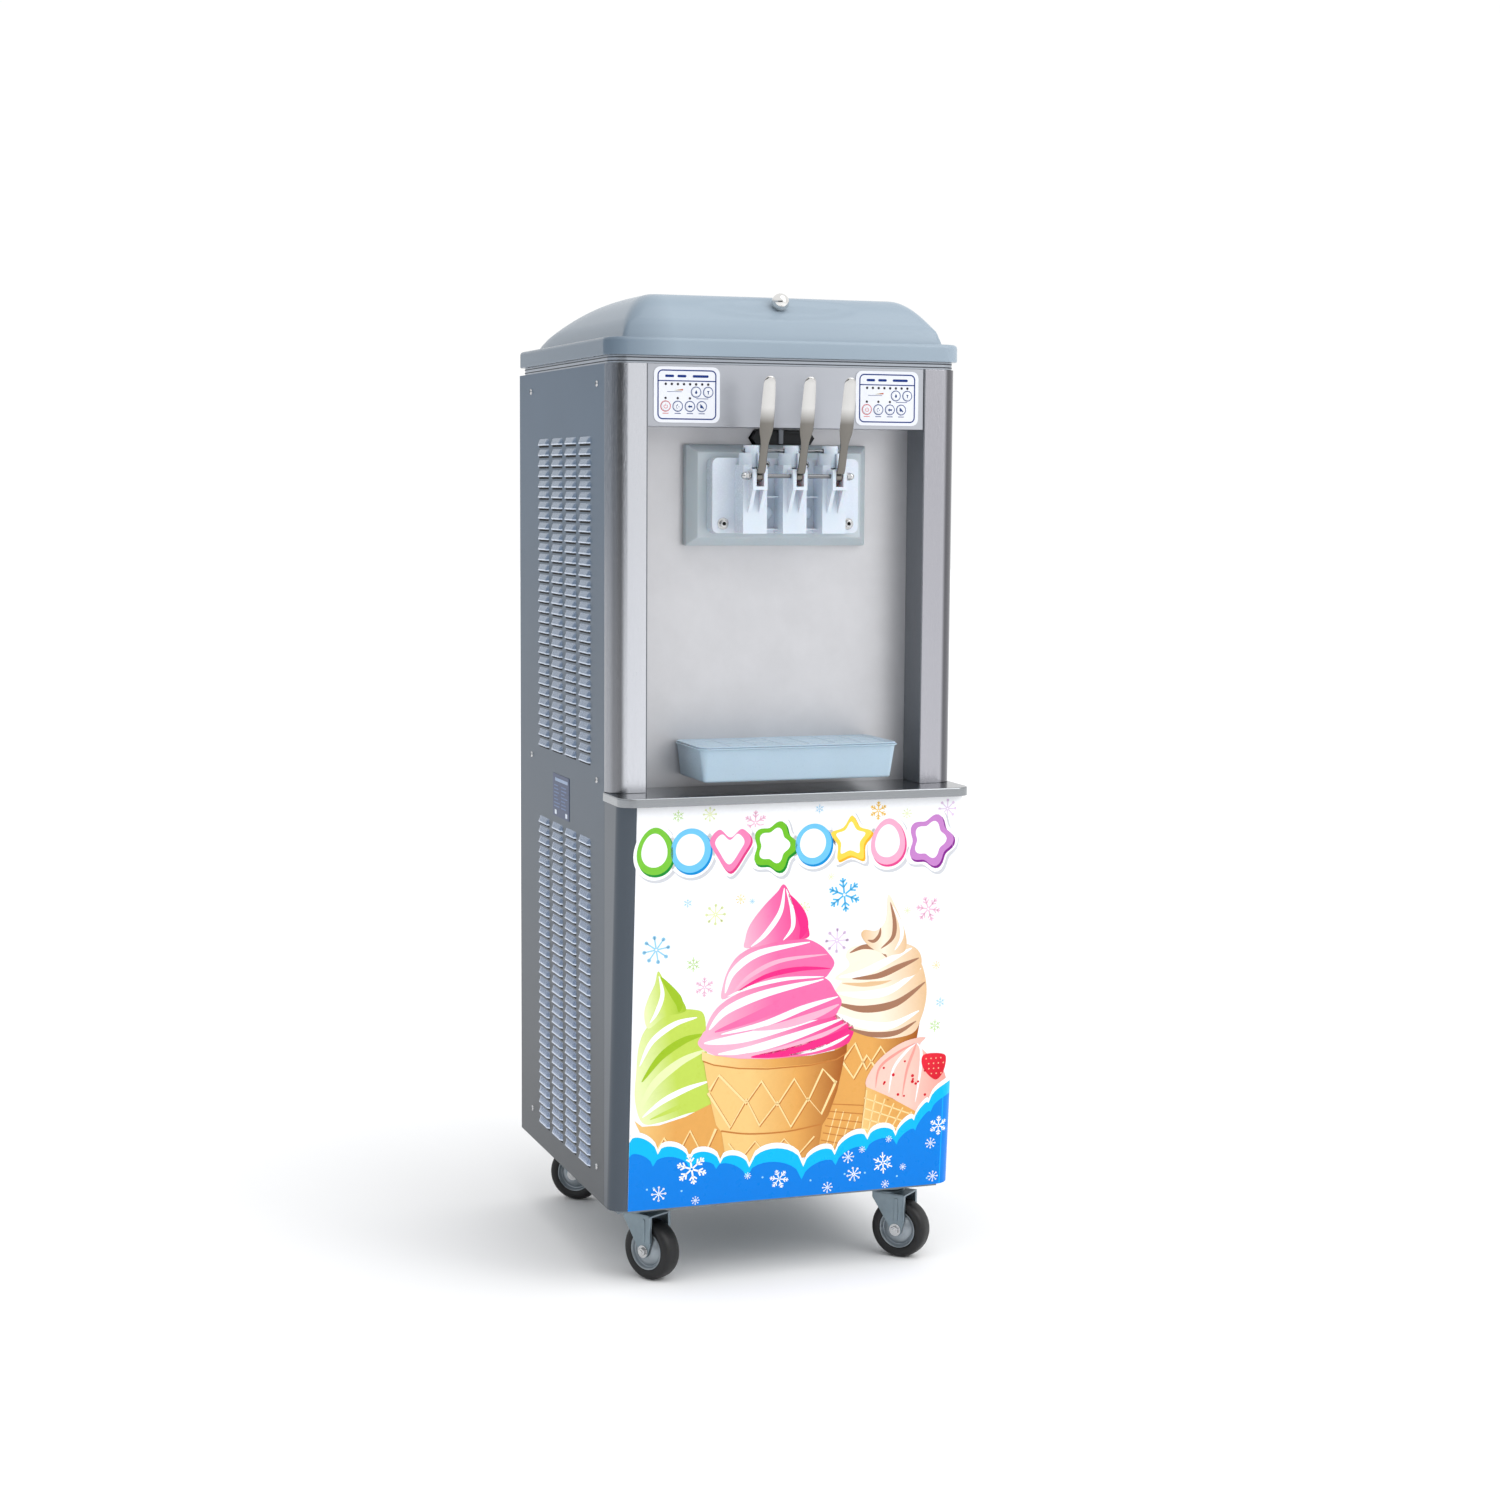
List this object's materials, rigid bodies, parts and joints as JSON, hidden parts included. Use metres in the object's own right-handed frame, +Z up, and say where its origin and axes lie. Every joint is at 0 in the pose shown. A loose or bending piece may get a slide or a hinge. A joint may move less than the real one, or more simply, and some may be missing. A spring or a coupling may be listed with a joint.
{
  "type": "soft serve machine",
  "caption": "Floor-standing soft serve machine: steel cabinet on swivel castors with lever taps, hanging drip tray, keypads and a domed lift-off lid over mix hoppers.",
  "frame": {"origin": "on the floor, under the middle of the object's bounding box", "axes": "+Z up, the front with taps and keypads faces -Y, +X is to the right seen from the front"},
  "size_m": [0.548, 0.635, 1.462],
  "materials": {
    "frame_zinc": "satin",
    "side_paint": "satin",
    "column_steel": "satin",
    "fascia_steel": "satin",
    "splash_steel": "satin",
    "shelf_steel": "satin",
    "front_print": "gloss",
    "top_steel": "satin",
    "lid_plastic": "gloss",
    "polished_steel": "polished",
    "dark_housing": "matt",
    "black_plastic": "matt",
    "head_plastic": "gloss",
    "tray_plastic": "gloss",
    "label_film": "gloss",
    "key_plastic": "gloss",
    "castor_zinc": "satin",
    "castor_tyre": "matt"
  },
  "bodies": {
    "cabinet": {"base_frame": "frame_zinc", "condenser": "frame_zinc", "left_side_panel": "side_paint", "right_side_panel": "side_paint", "left_lower_cheek": "side_paint", "right_lower_cheek": "side_paint", "rear_panel": "side_paint", "left_upper_column": "column_steel", "right_upper_column": "column_steel", "control_fascia": "fascia_steel", "splash_panel": "splash_steel", "shelf": "shelf_steel", "front_panel": "front_print", "top_frame": "top_steel", "left_hopper": "top_steel", "right_hopper": "top_steel", "left_freezing_cylinder": "top_steel", "right_freezing_cylinder": "top_steel", "pivot_rod": "polished_steel", "retaining_bar": "polished_steel", "drive_unit": "dark_housing", "compressor": "dark_housing", "power_inlet": "black_plastic", "head_bezel": "head_plastic", "dispensing_head": "head_plastic", "left_keypad": "label_film", "right_keypad": "label_film"},
    "lid": {"hopper_lid": "lid_plastic", "lid_knob": "polished_steel"},
    "tray": {"drip_tray": "tray_plastic"},
    "tray_cover": {"drip_tray_cover": "tray_plastic"},
    "left_beater_body": {"left_beater": "polished_steel"},
    "right_beater_body": {"right_beater": "polished_steel"},
    "fan": {"condenser_fan": "black_plastic"},
    "left_tap_lever": {"left_handle": "polished_steel"},
    "left_valve": {"left_plunger": "head_plastic"},
    "middle_tap_lever": {"middle_handle": "polished_steel"},
    "middle_valve": {"middle_plunger": "head_plastic"},
    "right_tap_lever": {"right_handle": "polished_steel"},
    "right_valve": {"right_plunger": "head_plastic"},
    "front_left_swivel": {"front_left_fork": "castor_zinc"},
    "front_left_roller": {"front_left_wheel": "castor_tyre"},
    "front_right_swivel": {"front_right_fork": "castor_zinc"},
    "front_right_roller": {"front_right_wheel": "castor_tyre"},
    "rear_left_swivel": {"rear_left_fork": "castor_zinc"},
    "rear_left_roller": {"rear_left_wheel": "castor_tyre"},
    "rear_right_swivel": {"rear_right_fork": "castor_zinc"},
    "rear_right_roller": {"rear_right_wheel": "castor_tyre"},
    "left_button_1": {"left_key_1": "key_plastic"},
    "left_button_2": {"left_key_2": "key_plastic"},
    "left_button_3": {"left_key_3": "key_plastic"},
    "left_button_4": {"left_key_4": "key_plastic"},
    "left_button_5": {"left_key_5": "key_plastic"},
    "left_button_6": {"left_key_6": "key_plastic"},
    "right_button_1": {"right_key_1": "key_plastic"},
    "right_button_2": {"right_key_2": "key_plastic"},
    "right_button_3": {"right_key_3": "key_plastic"},
    "right_button_4": {"right_key_4": "key_plastic"},
    "right_button_5": {"right_key_5": "key_plastic"},
    "right_button_6": {"right_key_6": "key_plastic"}
  },
  "joints": [
    {"name": "lid_lift", "type": "slide", "parent": "cabinet", "child": "lid", "axis": [0, 0, 1], "range_m": [0, 0.15]},
    {"name": "left_lever_pull", "type": "hinge", "parent": "cabinet", "child": "left_tap_lever", "pos_m": [-0.061, -0.2635, 1.196], "axis": [1, 0, 0], "range_deg": [0, 50]},
    {"name": "left_valve_rise", "type": "slide", "parent": "cabinet", "child": "left_valve", "axis": [0, 0, 1], "range_m": [0, 0.022]},
    {"name": "middle_lever_pull", "type": "hinge", "parent": "cabinet", "child": "middle_tap_lever", "pos_m": [0, -0.2635, 1.196], "axis": [1, 0, 0], "range_deg": [0, 50]},
    {"name": "middle_valve_rise", "type": "slide", "parent": "cabinet", "child": "middle_valve", "axis": [0, 0, 1], "range_m": [0, 0.022]},
    {"name": "right_lever_pull", "type": "hinge", "parent": "cabinet", "child": "right_tap_lever", "pos_m": [0.061, -0.2635, 1.196], "axis": [1, 0, 0], "range_deg": [0, 50]},
    {"name": "right_valve_rise", "type": "slide", "parent": "cabinet", "child": "right_valve", "axis": [0, 0, 1], "range_m": [0, 0.022]},
    {"name": "tray_pull", "type": "slide", "parent": "cabinet", "child": "tray", "axis": [0, -1, 0], "range_m": [0, 0.12]},
    {"name": "tray_cover_lift", "type": "slide", "parent": "tray", "child": "tray_cover", "axis": [0, 0, 1], "range_m": [0, 0.06]},
    {"name": "left_beater_spin", "type": "hinge", "parent": "cabinet", "child": "left_beater_body", "pos_m": [-0.061, 0.0085, 1.168], "axis": [0, 1, 0], "continuous": true},
    {"name": "right_beater_spin", "type": "hinge", "parent": "cabinet", "child": "right_beater_body", "pos_m": [0.061, 0.0085, 1.168], "axis": [0, 1, 0], "continuous": true},
    {"name": "fan_spin", "type": "hinge", "parent": "cabinet", "child": "fan", "pos_m": [-0.165, 0.0465, 0.32], "axis": [1, 0, 0], "continuous": true},
    {"name": "front_left_swivel_turn", "type": "hinge", "parent": "cabinet", "child": "front_left_swivel", "pos_m": [-0.199, -0.1595, 0.1], "axis": [0, 0, 1], "continuous": true},
    {"name": "front_left_wheel_roll", "type": "hinge", "parent": "front_left_swivel", "child": "front_left_roller", "pos_m": [-0.18973, -0.17493, 0.045], "axis": [0.8572, 0.515, 0], "continuous": true},
    {"name": "front_right_swivel_turn", "type": "hinge", "parent": "cabinet", "child": "front_right_swivel", "pos_m": [0.197, -0.1715, 0.1], "axis": [0, 0, 1], "continuous": true},
    {"name": "front_right_wheel_roll", "type": "hinge", "parent": "front_right_swivel", "child": "front_right_roller", "pos_m": [0.20904, -0.18488, 0.045], "axis": [0.7431, 0.6691, 0], "continuous": true},
    {"name": "rear_left_swivel_turn", "type": "hinge", "parent": "cabinet", "child": "rear_left_swivel", "pos_m": [-0.166, 0.2645, 0.1], "axis": [0, 0, 1], "continuous": true},
    {"name": "rear_left_wheel_roll", "type": "hinge", "parent": "rear_left_swivel", "child": "rear_left_roller", "pos_m": [-0.17979, 0.27607, 0.045], "axis": [-0.6428, -0.766, 0], "continuous": true},
    {"name": "rear_right_swivel_turn", "type": "hinge", "parent": "cabinet", "child": "rear_right_swivel", "pos_m": [0.166, 0.2645, 0.1], "axis": [0, 0, 1], "continuous": true},
    {"name": "rear_right_wheel_roll", "type": "hinge", "parent": "rear_right_swivel", "child": "rear_right_roller", "pos_m": [0.17979, 0.27607, 0.045], "axis": [-0.6428, 0.766, 0], "continuous": true},
    {"name": "left_button_1_press", "type": "slide", "parent": "cabinet", "child": "left_button_1", "axis": [0, 1, 0], "range_m": [0, 0.0006], "stiffness_N_per_m": 600},
    {"name": "left_button_2_press", "type": "slide", "parent": "cabinet", "child": "left_button_2", "axis": [0, 1, 0], "range_m": [0, 0.0006], "stiffness_N_per_m": 600},
    {"name": "left_button_3_press", "type": "slide", "parent": "cabinet", "child": "left_button_3", "axis": [0, 1, 0], "range_m": [0, 0.0006], "stiffness_N_per_m": 600},
    {"name": "left_button_4_press", "type": "slide", "parent": "cabinet", "child": "left_button_4", "axis": [0, 1, 0], "range_m": [0, 0.0006], "stiffness_N_per_m": 600},
    {"name": "left_button_5_press", "type": "slide", "parent": "cabinet", "child": "left_button_5", "axis": [0, 1, 0], "range_m": [0, 0.0006], "stiffness_N_per_m": 600},
    {"name": "left_button_6_press", "type": "slide", "parent": "cabinet", "child": "left_button_6", "axis": [0, 1, 0], "range_m": [0, 0.0006], "stiffness_N_per_m": 600},
    {"name": "right_button_1_press", "type": "slide", "parent": "cabinet", "child": "right_button_1", "axis": [0, 1, 0], "range_m": [0, 0.0006], "stiffness_N_per_m": 600},
    {"name": "right_button_2_press", "type": "slide", "parent": "cabinet", "child": "right_button_2", "axis": [0, 1, 0], "range_m": [0, 0.0006], "stiffness_N_per_m": 600},
    {"name": "right_button_3_press", "type": "slide", "parent": "cabinet", "child": "right_button_3", "axis": [0, 1, 0], "range_m": [0, 0.0006], "stiffness_N_per_m": 600},
    {"name": "right_button_4_press", "type": "slide", "parent": "cabinet", "child": "right_button_4", "axis": [0, 1, 0], "range_m": [0, 0.0006], "stiffness_N_per_m": 600},
    {"name": "right_button_5_press", "type": "slide", "parent": "cabinet", "child": "right_button_5", "axis": [0, 1, 0], "range_m": [0, 0.0006], "stiffness_N_per_m": 600},
    {"name": "right_button_6_press", "type": "slide", "parent": "cabinet", "child": "right_button_6", "axis": [0, 1, 0], "range_m": [0, 0.0006], "stiffness_N_per_m": 600}
  ],
  "couplings": [
    {"joint": "left_valve_rise", "follows": "left_lever_pull", "m_per_rad": 0.0246},
    {"joint": "middle_valve_rise", "follows": "middle_lever_pull", "m_per_rad": 0.0246},
    {"joint": "right_valve_rise", "follows": "right_lever_pull", "m_per_rad": 0.0246},
    {"joint": "right_beater_spin", "follows": "left_beater_spin", "ratio": -1}
  ]
}
